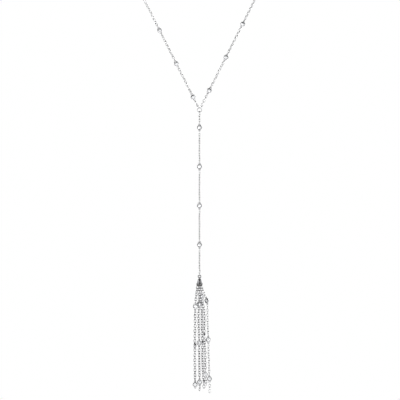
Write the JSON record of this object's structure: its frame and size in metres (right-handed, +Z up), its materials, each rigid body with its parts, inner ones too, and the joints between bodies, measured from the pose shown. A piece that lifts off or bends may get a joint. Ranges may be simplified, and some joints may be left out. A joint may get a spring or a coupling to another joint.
{
  "type": "lariat necklace",
  "caption": "Lariat necklace of fine cable chain with round stones in bezels, a small junction ring, a single drop and a capped tassel of short chain strands.",
  "frame": {"origin": "middle of the closed clasp at the nape, where the necklace hangs on the back of the neck", "axes": "+Z up along the hanging drop, -Y the front that the stones face, +X to the right of someone who looks at the front"},
  "size_m": [0.1091, 0.1137, 0.316],
  "materials": {
    "chain_metal": "polished white metal",
    "setting_metal": "polished white metal",
    "stone": "clear, faceted and polished"
  },
  "bodies": {
    "root": {"junction_ring": "chain_metal", "neck_chain_left": "chain_metal", "neck_chain_right": "chain_metal", "nape_chain_left": "chain_metal", "nape_chain_right": "chain_metal", "clasp": "chain_metal", "drop_chain": "chain_metal", "tassel_ring": "chain_metal", "strand_a": "chain_metal", "strand_b": "chain_metal", "strand_c": "chain_metal", "strand_d": "chain_metal", "strand_e": "chain_metal", "tassel_cap": "setting_metal", "neck_bezels_left": "setting_metal", "neck_bezels_right": "setting_metal", "drop_bezels": "setting_metal", "strand_a_bezels": "setting_metal", "strand_b_bezels": "setting_metal", "strand_c_bezels": "setting_metal", "strand_d_bezels": "setting_metal", "strand_e_bezels": "setting_metal", "left_stone_1": "stone", "left_stone_2": "stone", "left_stone_3": "stone", "left_stone_4": "stone", "left_stone_5": "stone", "left_stone_6": "stone", "left_stone_7": "stone", "left_stone_8": "stone", "right_stone_1": "stone", "right_stone_2": "stone", "right_stone_3": "stone", "right_stone_4": "stone", "right_stone_5": "stone", "right_stone_6": "stone", "right_stone_7": "stone", "right_stone_8": "stone", "drop_stone_1": "stone", "drop_stone_2": "stone", "drop_stone_3": "stone", "drop_stone_4": "stone", "strand_a_stone_1": "stone", "strand_a_stone_2": "stone", "strand_a_stone_3": "stone", "strand_b_stone_1": "stone", "strand_b_stone_2": "stone", "strand_b_stone_3": "stone", "strand_c_stone_1": "stone", "strand_c_stone_2": "stone", "strand_c_stone_3": "stone", "strand_d_stone_1": "stone", "strand_d_stone_2": "stone", "strand_d_stone_3": "stone", "strand_e_stone_1": "stone", "strand_e_stone_2": "stone", "strand_e_stone_3": "stone"}
  },
  "joints": []
}
